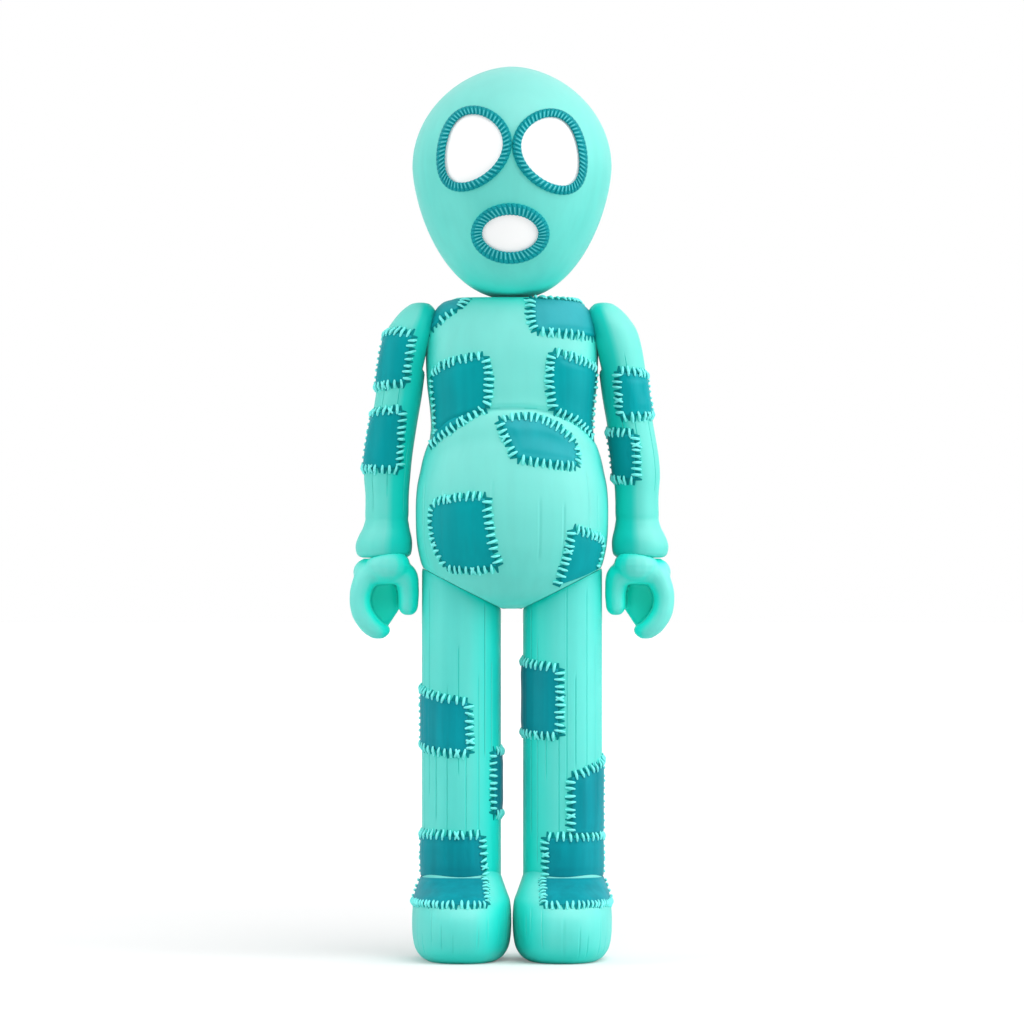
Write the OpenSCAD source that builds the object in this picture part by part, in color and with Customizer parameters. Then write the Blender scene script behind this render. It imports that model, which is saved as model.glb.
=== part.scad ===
// Patchwork doll figure in hollow vinyl with hidden swivel plugs.
// The front faces -Y, the soles stand on z = 0, and left means x < 0.

/* [Head] */
// Height of the crown above the floor
head_top = 299.8; // [295:0.1:305]
// Height of the head's widest ring
head_mid = 266; // [262:0.5:270]
// Height at which the egg would close below
head_low = 221.5; // [218:0.5:222]
// Largest radius of the head
head_r = 33.5; // [30:0.1:33.5]
// Wall of the rotocast head
head_wall = 2.5; // [2:0.1:4]

/* [Face] */
// Half width and half height of an eye's stitched rim
eye_rim = [12.4, 14.4]; // [10:0.1:13]
// Width of the rim round each eye
eye_rim_w = 3; // [2:0.1:4]
// Eye centre, out from the middle
eye_x = 12.6; // [12.6:0.1:13.5]
// Height of the left and right eye centres
eye_z = [270.7, 269.7]; // [265:0.1:276]
// How far the top of an eye leans inward
eye_lean = 1.7; // [0:0.1:3]
// How far the eye's top and bottom bow outward
eye_bow = 2.4; // [0:0.1:3]
// Half width and half height of the mouth's rim
mouth_rim_size = [13.1, 9.8]; // [9:0.1:14]
// Width of the rim round the mouth
mouth_rim_w = 3.8; // [2:0.1:4.5]
// Mouth centre, sideways and up
mouth_at = [-0.6, 242.4]; // [-2:0.1:250]
// How far a stitched rim stands proud
rim_high = 1.3; // [0.8:0.1:1.8]
// Depth of the pocket that holds a white insert
pocket_deep = 1.4; // [1:0.1:1.6]
// How far an insert sits below the skin
insert_sunk = 0.5; // [0.2:0.1:0.8]

/* [Torso] */
// Height of the flat neck seat
torso_top = 222; // [221.6:0.1:222]
// Lowest point of the keel between the legs
torso_low = 117.6; // [116:0.1:119]
// Wall of the torso
torso_wall = 3; // [2.5:0.1:4]

/* [Arms] */
// Height of the shoulder hinge
shoulder_z = 209; // [208:0.1:210]
// Inner face of each arm at the hinge, out from the middle
shoulder_face = 27.6; // [27.4:0.1:28]
// Lean of the shoulder face, following the torso's rounded shoulder
shoulder_lean = 13; // [11:0.5:14]
// Centre line of the wrist, out from the middle
wrist_x = 43.1; // [42.8:0.1:43.4]
// Lower lip of the cuff
cuff_z = 134.6; // [134:0.1:135.5]

/* [Legs] */
// Centre line of each leg, out from the middle
leg_x = 17; // [16.8:0.1:17.4]
// Radius of a leg
leg_r = 13.3; // [12.8:0.1:13.3]
// Angle of the V-cut hip face
hip_angle = 27; // [25:0.5:29]
// Height where a leg's centre line meets its hip face
hip_z = 124.6; // [124:0.1:125.2]
// Centre line of each foot, out from the middle
foot_x = 16.5; // [16.5:0.1:16.8]

/* [Joints] */
// Gap between two parts that turn on each other
joint_gap = 0.4; // [0.3:0.05:0.6]
// Radial clearance of a turning shaft in its bore
run_fit = 0.05; // [0.02:0.01:0.1]
// Shaft radius of the neck plug
neck_shaft = 5.5; // [4:0.1:6]
// Shaft radius of a shoulder or hip plug
limb_shaft = 5; // [4:0.1:5.5]
// Shaft radius of a wrist plug
wrist_shaft = 3; // [2.5:0.1:3.2]

/* [Hidden] */

mint = [0.36, 0.88, 0.80];
teal = [0.06, 0.60, 0.66];
white = [0.98, 0.97, 0.97];
grey = [0.55, 0.57, 0.58];

big = 200;
limb_flange = 7.5;
boss = 8;
arm_bore = 7;
shoulder_disc = 12;
flange_t = 1.6;
flange_gap = 0.3;
head_floor = 225.6;
head_seat = torso_top + joint_gap;
hand_top = cuff_z - joint_gap;
cuff_floor = cuff_z + 4;
hip_in = [sin(hip_angle), 0, cos(hip_angle)];

// Torso stations: height, half width, depth in front, depth behind.
TORSO = [[117.6, 13, 8, 8], [119, 19, 13, 12], [122, 25, 17.5, 15], [127, 28.6, 21, 17.5],
         [131, 30.1, 22.8, 18.6], [139, 31.9, 25.2, 20], [149, 32.4, 26.2, 20.4],
         [158, 32, 25.4, 19.8], [165, 30.5, 23.6, 18.8], [171, 28.6, 21.4, 17.8],
         [177, 27.4, 19.4, 17], [184, 27.6, 18.6, 16.8], [193, 28.6, 18.8, 17.2],
         [203, 29, 18.4, 17.2], [210, 28.6, 17, 16], [215, 26.9, 15, 14.4],
         [219, 24, 12.9, 12.6], [221, 21.2, 11.2, 11], [222, 18.6, 9.6, 9.6]];

// Arm stations: height, centre out from the middle, half width, half depth.
ARM = [[134.6, 43.1, 8.6, 8.4], [136, 43.1, 9.2, 9], [138.6, 43.1, 9.4, 9.2],
       [142, 42.8, 8.6, 8.6], [146, 42.5, 7.8, 8], [155, 42.4, 7.7, 8],
       [162, 42.4, 8.2, 8.3], [169, 41.8, 8.3, 8.5], [179, 40.2, 8.2, 8.7],
       [189, 38.6, 8.3, 9], [199, 37.4, 8.5, 9.4], [206, 35.9, 8.9, 9.8],
       [212, 34.4, 8.9, 9.5], [216, 32.8, 7.7, 8.4], [219, 31.7, 6, 6.6],
       [221, 31.1, 3.2, 3.8], [221.6, 31, 1.3, 1.8]];

// Foot stations: height, half width, reach in front, reach behind.
FOOT = [[0, 11.6, 27.5, 9.5], [1.2, 13.4, 29.6, 11.2], [4, 15.2, 32.2, 12.6],
        [8, 16, 33.6, 13.2], [12, 16.2, 34, 13.4], [16, 16, 33, 13.4],
        [19.5, 15.6, 30.2, 13.4], [22, 15.1, 26.4, 13.3], [25, 14.4, 20.6, 13.3],
        [28, 13.7, 15, 13.2], [30, 13, 12.6, 13]];

// Hand chain from the thumb's tip to the fingertips: out, up, radius, half spread in depth.
HAND = [[34.9, 118.5, 3.4, 1.8], [34.9, 124, 3.7, 2], [36.8, 129.2, 4.2, 3.5],
        [47, 129.5, 4.3, 3.5], [50.2, 125.4, 3.8, 3.4], [51.1, 121, 3.6, 3.2],
        [50.4, 116.4, 3.6, 3.2], [47.9, 112.4, 3.5, 3], [45, 110.2, 3, 2.6],
        [42.8, 110.3, 1.9, 2]];

// Discs whose hull is the palm's back wall: out, up, radius.
PALM = [[46.5, 125, 4.5], [47.5, 117, 4.5], [46, 112.8, 3], [43.9, 112.7, 2.6],
        [41.3, 118.4, 3.6], [42.4, 124, 4]];

function seg(t, z, i = 0) = i >= len(t) - 2 || z <= t[i + 1][0] ? i : seg(t, z, i + 1);
function slope(t, i, k) =
    let(a = max(i - 1, 0), b = min(i + 1, len(t) - 1)) (t[b][k] - t[a][k]) / (t[b][0] - t[a][0]);
function smooth(t, z, k) =
    let(i = seg(t, z), h = t[i + 1][0] - t[i][0], u = (z - t[i][0]) / h)
    (2 * u^3 - 3 * u^2 + 1) * t[i][k] + (u^3 - 2 * u^2 + u) * h * slope(t, i, k)
    + (3 * u^2 - 2 * u^3) * t[i + 1][k] + (u^3 - u^2) * h * slope(t, i + 1, k);

// A rounded-box ring: squareness p = 2 is an ellipse.
function bulge(v, p) = sign(v) * pow(abs(v), 2 / p);
function ring(z, cx, w, front, back, n, p) =
    [for (i = [0:n - 1]) let(a = 360 * i / n, s = sin(a))
     [cx + w * bulge(cos(a), p), (s < 0 ? front : back) * bulge(s, p), z]];

// Closes a stack of rings, all with n points, into a solid.
module stack(rings, n) {
    m = len(rings);
    polyhedron(
        points = [for (r = rings) each r],
        faces = concat(
            [[for (i = [0:n - 1]) i]],
            [for (j = [0:m - 2], i = [0:n - 1])
             [j * n + i, (j + 1) * n + i, (j + 1) * n + (i + 1) % n, j * n + (i + 1) % n]],
            [[for (i = [n - 1:-1:0]) (m - 1) * n + i]]));
}

// Heights from low to high, closer together towards both ends.
function heights(low, high, count) =
    [for (i = [0:count]) low + (high - low) * (1 - cos(180 * i / count)) / 2];

module torso_form(inset, n, count) {
    rings = [for (z = heights(torso_low + inset, torso_top - inset, count))
             ring(z, 0, smooth(TORSO, z, 1) - inset, smooth(TORSO, z, 2) - inset,
                  smooth(TORSO, z, 3) - inset, n, 2.25)];
    stack(rings, n);
}

module arm_form(n, count) {
    rings = [for (z = heights(cuff_z, ARM[len(ARM) - 1][0], count))
             ring(z, smooth(ARM, z, 1), smooth(ARM, z, 2), smooth(ARM, z, 3),
                  smooth(ARM, z, 3), n, 2)];
    stack(rings, n);
}

// The head's outline, grown outward by d.
function head_side(d, u) = (head_r + d) * (u > 0 ? pow(1 - u^2, 0.55) : pow(1 - pow(-u, 1.6), 0.455));
function head_height(d, u) =
    head_mid + (u > 0 ? u * (head_top - head_mid + d) : u * (head_mid - head_low + d));
module egg(d, low) {
    steps = 17;
    rotate_extrude($fn = 96)
        intersection() {
            polygon([for (i = [-steps:steps]) let(u = sin(90 * i / steps))
                     [max(0, head_side(d, u)), head_height(d, u)]]);
            translate([0, low]) square([big, big]);
        }
}

function eye_outline(grow, side) =
    [for (a = [0:9:351])
     [side * (eye_x - (eye_rim[0] + grow) * cos(a) - eye_lean * sin(a) + eye_bow * sin(a)^2),
      (eye_rim[1] + grow) * sin(a)]];
function mouth_outline(grow) =
    [for (a = [0:9:351]) [(mouth_rim_size[0] + grow) * cos(a), (mouth_rim_size[1] + grow) * sin(a)]];

// Stands an outline up and pushes it forward through the face.
module forward(outline, at) {
    translate([at[0], 0, at[1]]) rotate([90, 0, 0]) linear_extrude(60) polygon(outline);
}
module eye_prism(side, grow) {
    forward(eye_outline(grow, side), [0, side < 0 ? eye_z[0] : eye_z[1]]);
}
module mouth_prism(grow) {
    forward(mouth_outline(grow), mouth_at);
}
module skin(outer, inner) {
    difference() {
        egg(outer, head_seat);
        egg(inner, head_seat - 1);
    }
}
module pocket() {
    intersection() {
        skin(1, -pocket_deep);
        children();
    }
}
module insert() {
    intersection() {
        skin(-insert_sunk, -pocket_deep);
        children();
    }
}
module rim() {
    intersection() {
        skin(rim_high, 0);
        difference() {
            children(0);
            children(1);
        }
    }
}

module head_shell() {
    color(mint)
    difference() {
        egg(0, head_seat);
        egg(-head_wall, head_floor);
        pocket() eye_prism(-1, -eye_rim_w);
        pocket() eye_prism(1, -eye_rim_w);
        pocket() mouth_prism(-mouth_rim_w);
        translate([0, 0, head_seat - 1]) cylinder(r = neck_shaft + run_fit, h = 8, $fn = 64);
    }
}
module eye_insert(side) {
    color(white) insert() eye_prism(side, -eye_rim_w);
}
module mouth_insert() {
    color(white) insert() mouth_prism(-mouth_rim_w);
}
// The two rims meet at the middle of the face and are parted there.
module eye_rim_ring(side) {
    color(teal)
    intersection() {
        rim() {
            eye_prism(side, 0);
            eye_prism(side, -eye_rim_w);
        }
        translate([side < 0 ? -big : 0, -big, big]) cube([big, big, big]);
    }
}
module mouth_rim() {
    color(teal)
    rim() {
        mouth_prism(0);
        mouth_prism(-mouth_rim_w);
    }
}

// A swivel plug along +Z: shaft from 0 to long, flange on top.
module plug(shaft, long, flange) {
    color(grey)
    union() {
        cylinder(r = shaft, h = long + flange_t, $fn = 64);
        translate([0, 0, long]) cylinder(r = flange, h = flange_t, $fn = 64);
    }
}
module neck_plug() {
    foot = torso_top - torso_wall;
    translate([0, 0, foot]) plug(neck_shaft, head_floor + flange_gap - foot, neck_shaft + 1.7);
    color(grey) translate([0, 0, foot - flange_t]) cylinder(r = limb_flange, h = flange_t, $fn = 64);
}
// Turns +Z onto the shoulder face's inward normal.
module at_shoulder(side) {
    translate([side * shoulder_face, 0, shoulder_z])
        rotate([0, -side * (90 + shoulder_lean), 0])
            children();
}
module shoulder_plug(side) {
    at_shoulder(side) translate([0, 0, -arm_bore])
        plug(limb_shaft, arm_bore + joint_gap + boss + flange_gap, limb_flange);
}
module wrist_plug(side) {
    depth = 5.2;
    translate([side * wrist_x, 0, hand_top - depth])
        plug(wrist_shaft, cuff_floor + flange_gap - hand_top + depth, wrist_shaft + 1.5);
}
// Turns +Z onto the hip face's inward normal.
module at_hip(side) {
    translate([side * leg_x, 0, hip_z]) rotate([0, -side * hip_angle, 0]) children();
}
module hip_plug(side) {
    at_hip(side) translate([0, 0, -boss - joint_gap])
        plug(limb_shaft, 2 * boss + joint_gap + flange_gap, limb_flange);
}

// Everything below a hip face that is raised by lift.
module below_hip(side, lift) {
    at_hip(side) translate([-big / 2, -big / 2, lift - big]) cube([big, big, big]);
}
module torso_hollow() {
    difference() {
        torso_form(torso_wall, 28, 16);
        for (side = [-1, 1]) {
            below_hip(side, boss);
            at_shoulder(side) translate([0, 0, -boss])
                cylinder(r = 9.5, h = 2 * boss + joint_gap, $fn = 64);
        }
    }
}
module torso_shell() {
    color(mint)
    difference() {
        torso_form(0, 40, 30);
        torso_hollow();
        for (side = [-1, 1]) {
            below_hip(side, 0);
            at_hip(side) translate([0, 0, -1])
                cylinder(r = limb_shaft + run_fit, h = boss + 4, $fn = 64);
            at_shoulder(side) cylinder(r = limb_shaft + run_fit, h = boss + 4, $fn = 64);
            at_shoulder(side) translate([0, 0, joint_gap - boss])
                cylinder(r = shoulder_disc, h = boss, $fn = 96);
        }
        translate([0, 0, torso_top - torso_wall - 1]) cylinder(r = neck_shaft, h = 6, $fn = 64);
    }
}

module arm_hollow() {
    hollow_r = 5.2;
    elbow = [42.6, 0, 164];
    lean = 7;
    translate([wrist_x, 0, cuff_floor]) cylinder(r = hollow_r, h = elbow[2] - cuff_floor, $fn = 48);
    translate(elbow) sphere(r = hollow_r, $fn = 48);
    translate(elbow) rotate([0, -lean, 0]) cylinder(r = hollow_r, h = 32, $fn = 48);
}
module left_or_right(side) {
    if (side > 0) children();
    else mirror([1, 0, 0]) children();
}
module arm_shell(side) {
    color(mint)
    left_or_right(side)
    difference() {
        arm_form(30, 30);
        at_shoulder(1) cylinder(r = shoulder_disc, h = boss, $fn = 96);
        arm_hollow();
        at_shoulder(1) translate([0, 0, -arm_bore])
            cylinder(r = limb_shaft, h = arm_bore + 1, $fn = 64);
        translate([wrist_x, 0, cuff_z - 1])
            cylinder(r = wrist_shaft + run_fit, h = 6, $fn = 64);
    }
}

module knuckle(k) {
    for (y = [-k[3], k[3]])
        translate([k[0], y, k[1]]) sphere(r = k[2], $fn = 20);
}
module hand(side) {
    palm_back = 5.4;
    palm_t = 3;
    color(mint)
    left_or_right(side)
    difference() {
        union() {
            for (i = [0:len(HAND) - 2])
                hull() {
                    knuckle(HAND[i]);
                    knuckle(HAND[i + 1]);
                }
            translate([wrist_x, 0, 128]) cylinder(r = 6.6, h = hand_top - 128, $fn = 48);
            hull()
                for (p = PALM)
                    translate([p[0], palm_back, p[1]]) rotate([90, 0, 0])
                        cylinder(r = p[2], h = palm_t, $fn = 32);
        }
        translate([wrist_x, 0, hand_top - 5.2]) cylinder(r = wrist_shaft, h = 10, $fn = 64);
    }
}

module foot() {
    low = FOOT[0][0];
    high = FOOT[len(FOOT) - 1][0];
    n = 40;
    rings = [for (z = heights(low, high, 20))
             ring(z, 0, smooth(FOOT, z, 1), smooth(FOOT, z, 2), smooth(FOOT, z, 3), n, 2.5)];
    stack(rings, n);
}
module leg_shell(side) {
    color(mint)
    difference() {
        union() {
            translate([side * leg_x, 0, 10]) cylinder(r = leg_r, h = 130, $fn = 96);
            translate([side * foot_x, 0, 0]) foot();
        }
        at_hip(side) translate([-big / 2, -big / 2, -joint_gap]) cube([big, big, big]);
        translate([side * leg_x, 0, 30]) cylinder(r = leg_r - 2.8, h = 74, $fn = 64);
        at_hip(side) translate([0, 0, -boss - joint_gap])
            cylinder(r = limb_shaft, h = boss + 4, $fn = 64);
    }
}

head_shell();
eye_insert(-1);  // left_eye_insert
eye_insert(1);  // right_eye_insert
mouth_insert();
eye_rim_ring(-1);  // left_eye_rim
eye_rim_ring(1);  // right_eye_rim
mouth_rim();
neck_plug();
torso_shell();
arm_shell(-1);  // left_arm_shell
arm_shell(1);  // right_arm_shell
shoulder_plug(-1);  // left_shoulder_plug
shoulder_plug(1);  // right_shoulder_plug
hand(-1);  // left_hand
hand(1);  // right_hand
wrist_plug(-1);  // left_wrist_plug
wrist_plug(1);  // right_wrist_plug
leg_shell(-1);  // left_leg_shell
leg_shell(1);  // right_leg_shell
hip_plug(-1);  // left_hip_plug
hip_plug(1);  // right_hip_plug
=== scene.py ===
"""The looks of the patchwork vinyl doll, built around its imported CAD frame.

Shapes are worked out in millimetres and scaled to metres as each mesh is made.
turn is the angle round a part in degrees: 0 faces the front (-Y), positive goes towards +X.
Every part's skin is a Surface, a function of turn and height, and the patches, stitches and
engraved lines are laid out on it. Left is the side at -X.
"""
import math
import random

import bmesh
import bpy
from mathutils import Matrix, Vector


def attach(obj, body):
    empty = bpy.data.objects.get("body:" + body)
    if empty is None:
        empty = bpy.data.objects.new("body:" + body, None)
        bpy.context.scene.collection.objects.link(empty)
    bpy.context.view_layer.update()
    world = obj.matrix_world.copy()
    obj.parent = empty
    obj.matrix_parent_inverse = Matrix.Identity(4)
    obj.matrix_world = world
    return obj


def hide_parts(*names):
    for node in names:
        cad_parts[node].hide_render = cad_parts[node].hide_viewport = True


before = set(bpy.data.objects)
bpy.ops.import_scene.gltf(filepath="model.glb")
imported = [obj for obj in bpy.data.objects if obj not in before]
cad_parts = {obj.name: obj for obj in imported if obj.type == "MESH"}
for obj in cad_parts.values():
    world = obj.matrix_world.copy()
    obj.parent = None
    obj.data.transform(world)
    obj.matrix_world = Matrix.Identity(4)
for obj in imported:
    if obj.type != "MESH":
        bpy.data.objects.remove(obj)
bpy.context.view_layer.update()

MM = 0.001

# ---------------------------------------------------------------- sizes shared with the CAD source
HEAD_TOP, HEAD_MID, HEAD_LOW, HEAD_R = 299.8, 266.0, 221.5, 33.5
HEAD_SEAT = 222.4
EYE_RIM, EYE_RIM_W = (12.4, 14.4), 3.0
EYE_X, EYE_Z, EYE_LEAN, EYE_BOW = 12.6, {-1: 270.7, 1: 269.7}, 1.7, 2.4
MOUTH_RIM, MOUTH_RIM_W, MOUTH_AT = (13.1, 9.8), 3.8, (-0.6, 242.4)
LEG_X, LEG_R, FOOT_X = 17.0, 13.3, 16.9
HIP_ANGLE, HIP_Z, JOINT_GAP = 27.0, 124.6, 0.4
SHOULDER_FACE, SHOULDER_Z, SHOULDER_LEAN, SHOULDER_DISC = 27.6, 209.0, 13.0, 12.0
WRIST_X, CUFF_Z = 43.1, 134.6

TORSO_SQUARE, FOOT_SQUARE = 2.25, 2.5        # 2 is an ellipse, more is squarer
CREASE_Z, CREASE_ARCH = 173.5, 11            # the fold over the belly: its height at the sides and its rise
EYE_LEDGE, MOUTH_LEDGE = 1.4, 1.9            # how far inside a rim the skin drops to the white insert

# Torso stations: height, half width, depth in front, depth behind.
TORSO = [(117.6, 13, 8, 8), (119, 19, 13, 12), (122, 25, 17.5, 15), (127, 28.6, 21, 17.5),
         (131, 30.1, 22.8, 18.6), (139, 31.9, 25.2, 20), (149, 32.4, 26.2, 20.4),
         (158, 32, 25.4, 19.8), (165, 30.5, 23.6, 18.8), (171, 28.6, 21.4, 17.8),
         (177, 27.4, 19.4, 17), (184, 27.6, 18.6, 16.8), (193, 28.6, 18.8, 17.2),
         (203, 29, 18.4, 17.2), (210, 28.6, 17, 16), (215, 26.9, 15, 14.4),
         (219, 24, 12.9, 12.6), (221, 21.2, 11.2, 11), (222, 18.6, 9.6, 9.6)]
# Arm stations: height, centre out from the middle, half width, half depth.
ARM = [(134.6, 43.1, 8.3, 8.4), (136, 43.1, 8.8, 9), (138.6, 43.1, 9, 9.2),
       (142, 42.7, 8.2, 8.6), (146, 42.2, 7.5, 8), (155, 42, 7.3, 8),
       (162, 42, 7.8, 8.3), (169, 41.4, 7.9, 8.5), (179, 39.8, 7.8, 8.7),
       (189, 38.1, 7.8, 9), (199, 36.8, 7.9, 9.4), (206, 35.3, 8.2, 9.8),
       (211.5, 33.7, 8.1, 9.5), (215.2, 32.3, 7, 8.4), (218, 31.3, 5.4, 6.6),
       (220, 30.8, 3, 3.8), (220.4, 30.7, 1.3, 1.8)]
# Foot stations: height, half width, reach in front, reach behind.
FOOT = [(0, 12, 27.5, 9.5), (1.2, 13.9, 29.6, 11.2), (4, 15.7, 32.2, 12.6),
        (8, 16.5, 33.6, 13.2), (12, 16.7, 34, 13.4), (16, 16.6, 33.2, 13.4),
        (19.5, 16.2, 30.6, 13.4), (21.8, 15.4, 26.4, 13.3), (24, 14.6, 21.4, 13.3),
        (26, 13.9, 17, 13.2), (28, 13.2, 13.6, 13), (30, 12.2, 12, 12.4)]
# Hand chain from the thumb's tip to the fingertips: out, up, radius, half spread in depth.
HAND = [(34.9, 118.5, 3.4, 1.8), (34.9, 124, 3.7, 2), (36.8, 129.2, 4.2, 3.5),
        (47, 129.5, 4.3, 3.5), (50.2, 125.4, 3.8, 3.4), (51.1, 121, 3.6, 3.2),
        (50.4, 116.4, 3.6, 3.2), (47.9, 112.4, 3.5, 3), (45, 110.2, 3, 2.6),
        (42.8, 110.3, 1.9, 2)]
# Discs whose hull is the palm's back wall: out, up, radius.
PALM = [(46.5, 125, 4.5), (47.5, 117, 4.5), (46, 112.8, 3), (43.9, 112.7, 2.6),
        (41.3, 118.4, 3.6), (42.4, 124, 4)]


SIDES = ((-1, "left"), (1, "right"))


# ---------------------------------------------------------------- curves and surfaces
def slope(table, i, k):
    """The slope of a station's value k, taken from its neighbours."""
    a, b = max(i - 1, 0), min(i + 1, len(table) - 1)
    return (table[b][k] - table[a][k]) / (table[b][0] - table[a][0])


def smooth(table, z, k):
    """A station's value k at height z, on one smooth curve through all the stations."""
    i = 0
    while i < len(table) - 2 and z > table[i + 1][0]:
        i += 1
    h = table[i + 1][0] - table[i][0]
    u = (z - table[i][0]) / h
    return ((2 * u**3 - 3 * u**2 + 1) * table[i][k] + (u**3 - 2 * u**2 + u) * h * slope(table, i, k)
            + (3 * u**2 - 2 * u**3) * table[i + 1][k] + (u**3 - u**2) * h * slope(table, i + 1, k))


def bulge(v, square):
    """Pushes a sine or cosine outward, so that the section is a rounded square."""
    return math.copysign(abs(v) ** (2 / square), v)


def ease(low, high, x):
    t = min(1, max(0, (x - low) / (high - low)))
    return t * t * (3 - 2 * t)


def bump(x, width):
    return math.exp(-(x / width) ** 2)


def unwind(angle):
    """The same angle between -180 and 180."""
    return (angle + 180) % 360 - 180


class Groove:
    """A fine engraved line down a part, at one turn and between two heights."""

    def __init__(self, turn, low, high, width=1.2, deep=0.2):
        self.turn, self.low, self.high, self.width, self.deep = turn, low, high, width, deep

    def depth(self, turn, z):
        off = abs(unwind(turn - self.turn))
        if off > self.width or z < self.low or z > self.high:
            return 0
        ends = ease(self.low, self.low + 3, z) * ease(self.high, self.high - 3, z)
        return self.deep * ends * (1 - off / self.width)


def groove_set(rng, count, low, high, shortest, first=0, sweep=360):
    """Engraved lines spread over a sweep of turns, half of them starting at the bottom."""
    grooves = []
    for i in range(count):
        turn = first + (i + rng.uniform(-0.28, 0.28)) * sweep / count
        bottom = low + rng.uniform(0, 0.4) * (high - low) * rng.choice((0, 1))
        top = min(high, bottom + rng.uniform(shortest, high - low))
        grooves.append(Groove(turn, bottom, top, deep=rng.uniform(0.13, 0.21)))
    return grooves


def columns(step, grooves):
    """Turns of a mesh's columns: an even fan, with extra columns down every groove."""
    turns = [i * step - 180 for i in range(round(360 / step))]
    cuts = []
    for g in grooves:
        cuts += [unwind(g.turn + k * g.width / 2) for k in range(-3, 4)]
    kept = [t for t in turns if all(abs(unwind(t - c)) > 0.5 for c in cuts)]
    return sorted(set(round(t, 3) for t in kept + cuts))


class Surface:
    """A part's skin as a function of turn and height, with its outward normal."""

    def __init__(self, point, grooves=()):
        self.base, self.grooves = point, list(grooves)

    def frame(self, turn, z):
        p = self.base(turn, z)
        across = self.base(turn + 0.4, z) - self.base(turn - 0.4, z)
        up = self.base(turn, z + 0.15) - self.base(turn, z - 0.15)
        return p, across / 0.8, up / 0.3, across.cross(up).normalized()

    def at(self, turn, z, lift=0.0):
        p, _, _, normal = self.frame(turn, z)
        sink = max((g.depth(turn, z) for g in self.grooves), default=0)
        return p + normal * (lift - sink)


def within(table, z):
    return min(max(z, table[0][0]), table[-1][0])


def torso_base(turn, z):
    """The torso, whose belly rises in the middle and is parted from the chest by an arched fold."""
    t = math.radians(turn)
    side, front = math.sin(t), math.cos(t)
    z_in = within(TORSO, z)
    rise = 5 * max(0, front) ** 2 * bump(z - 176, 14)
    width = smooth(TORSO, z_in, 1)
    depth = smooth(TORSO, z_in - rise, 2 if front > 0 else 3)
    above = z - CREASE_Z - CREASE_ARCH * max(0, front) ** 1.3
    fold = ease(-0.25, 0.35, front) * (0.9 * bump(above + 4.5, 4) - 0.75 * bump(above, 1.1))
    return Vector((width * bulge(side, TORSO_SQUARE) + side * fold,
                   -depth * bulge(front, TORSO_SQUARE) - front * fold, z))


def arm_base(side):
    def point(turn, z):
        t = math.radians(turn)
        z_in = within(ARM, z)
        cuff = 0.7 * bump(z - 141, 3.2) + 0.3 * bump(z - 136.5, 2.2) - 0.2 * bump(z - 147.5, 1.2)
        w, d = smooth(ARM, z_in, 2) + cuff, smooth(ARM, z_in, 3) + cuff
        return Vector((side * smooth(ARM, z_in, 1) + w * math.sin(t), -d * math.cos(t), z))
    return point


def leg_base(side):
    def point(turn, z):
        t = math.radians(turn)
        return Vector((side * LEG_X + LEG_R * math.sin(t), -LEG_R * math.cos(t), z))
    return point


def foot_base(side):
    def point(turn, z):
        t = math.radians(turn)
        z_in = within(FOOT, z)
        reach = smooth(FOOT, z_in, 2 if math.cos(t) > 0 else 3)
        return Vector((side * FOOT_X + smooth(FOOT, z_in, 1) * bulge(math.sin(t), FOOT_SQUARE),
                       -reach * bulge(math.cos(t), FOOT_SQUARE), z))
    return point


def head_radius(z, grow=0.0):
    """The head's radius at a height, grow outside the skin: round above the middle, an egg's end below."""
    if z > HEAD_MID:
        u = min(1, (z - HEAD_MID) / (HEAD_TOP - HEAD_MID + grow))
        return (HEAD_R + grow) * (1 - u**2) ** 0.55
    u = min(1, (HEAD_MID - z) / (HEAD_MID - HEAD_LOW + grow))
    return (HEAD_R + grow) * (1 - u**1.6) ** 0.455


def face_point(x, z, grow):
    """The point of the face in front of (x, z), grow outside the skin."""
    r = head_radius(z, grow)
    return Vector((x, -math.sqrt(max(0, r * r - x * x)), z))


def eye_outline(side, grow):
    def point(a):
        s, c = math.sin(a), math.cos(a)
        x = side * (EYE_X - (EYE_RIM[0] + grow) * c - EYE_LEAN * s + EYE_BOW * s * s)
        return x, EYE_Z[side] + (EYE_RIM[1] + grow) * s
    return point


def mouth_outline(grow):
    def point(a):
        return (MOUTH_AT[0] + (MOUTH_RIM[0] + grow) * math.cos(a),
                MOUTH_AT[1] + (MOUTH_RIM[1] + grow) * math.sin(a))
    return point


def in_eye(side, x, z, grow):
    """Below 1 inside the eye's outline."""
    s = (z - EYE_Z[side]) / (EYE_RIM[1] + grow)
    middle = side * (EYE_X - EYE_LEAN * s + EYE_BOW * s * s)
    return math.hypot((x - middle) / (EYE_RIM[0] + grow), s)


def in_mouth(x, z, grow):
    """Below 1 inside the mouth's outline."""
    return math.hypot((x - MOUTH_AT[0]) / (MOUTH_RIM[0] + grow), (z - MOUTH_AT[1]) / (MOUTH_RIM[1] + grow))


def head_base(turn, z):
    """The head, whose skin drops under the middle of each rim to make room for the white insert."""
    t = math.radians(turn)
    r = head_radius(z)
    x = r * math.sin(t)
    if math.cos(t) > 0:
        near = min(in_eye(-1, x, z, -EYE_LEDGE), in_eye(1, x, z, -EYE_LEDGE), in_mouth(x, z, -MOUTH_LEDGE))
        r -= 1.3 * (1 - ease(0.94, 1.0, near))
    return Vector((r * math.sin(t), -r * math.cos(t), z))


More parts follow.
